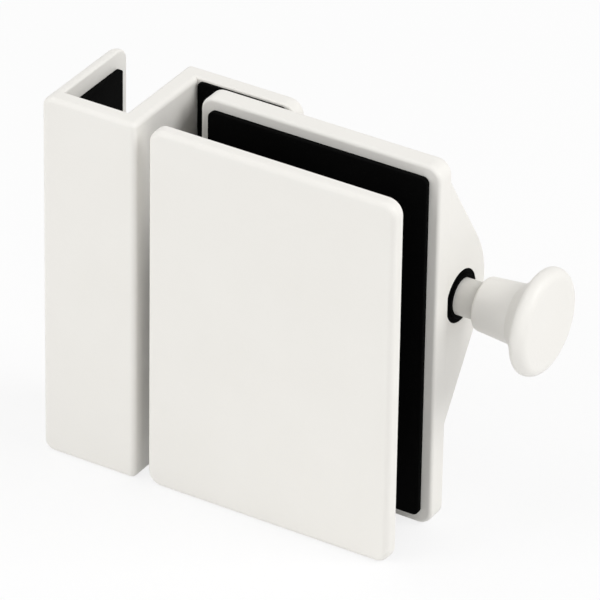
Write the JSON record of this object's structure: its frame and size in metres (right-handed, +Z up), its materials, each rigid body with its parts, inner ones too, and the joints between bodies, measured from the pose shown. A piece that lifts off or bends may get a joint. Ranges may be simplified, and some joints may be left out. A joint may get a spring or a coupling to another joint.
{
  "type": "glass door latch",
  "caption": "Latch for a frameless glass gate at a right-angle corner: a sprung bolt with a pull knob catches behind a keeper that is clamped to the fixed glass.",
  "frame": {"origin": "middle of the base: midway along X and Y, at the level of the plates' lower edges", "axes": "+X along the gate from the keeper to the knob, +Y from the front face to the knob side behind the glass, +Z up"},
  "size_m": [0.1044, 0.04, 0.085],
  "materials": {
    "coated_casting": "plain off-white satin coating",
    "coated_shaft": "plain off-white satin coating",
    "rubber": "matte black",
    "bush_plastic": "matte black",
    "sleeve_plastic": "milky",
    "screw_steel": "fine turned",
    "bolt_steel": "fine ground",
    "spring_steel": "drawn wire",
    "cover_steel": "fine brushed"
  },
  "bodies": {
    "latch": {"keeper_bracket": "coated_casting", "front_plate": "coated_casting", "latch_housing": "coated_casting", "keeper_leg_pad": "rubber", "keeper_web_pad": "rubber", "stop_buffer_pad": "rubber", "front_gasket": "rubber", "rear_gasket": "rubber", "shaft_bush": "bush_plastic", "keeper_sleeves": "sleeve_plastic", "glass_sleeves": "sleeve_plastic", "keeper_clamp_screws": "screw_steel", "clamp_screws": "screw_steel", "cover_screws": "screw_steel", "return_spring": "spring_steel", "spring_washer": "screw_steel", "mechanism_cover": "cover_steel"},
    "bolt": {"latch_bolt": "bolt_steel", "pull_shaft": "coated_shaft", "cross_pin": "screw_steel", "knob": "coated_casting", "knob_set_screw": "screw_steel"}
  },
  "joints": [
    {"name": "bolt_slide", "type": "slide", "parent": "latch", "child": "bolt", "axis": [1, 0, 0], "range_m": [0, 0.009], "stiffness_N_per_m": 500, "springref_m": -0.01, "deforming": ["return_spring"]}
  ]
}
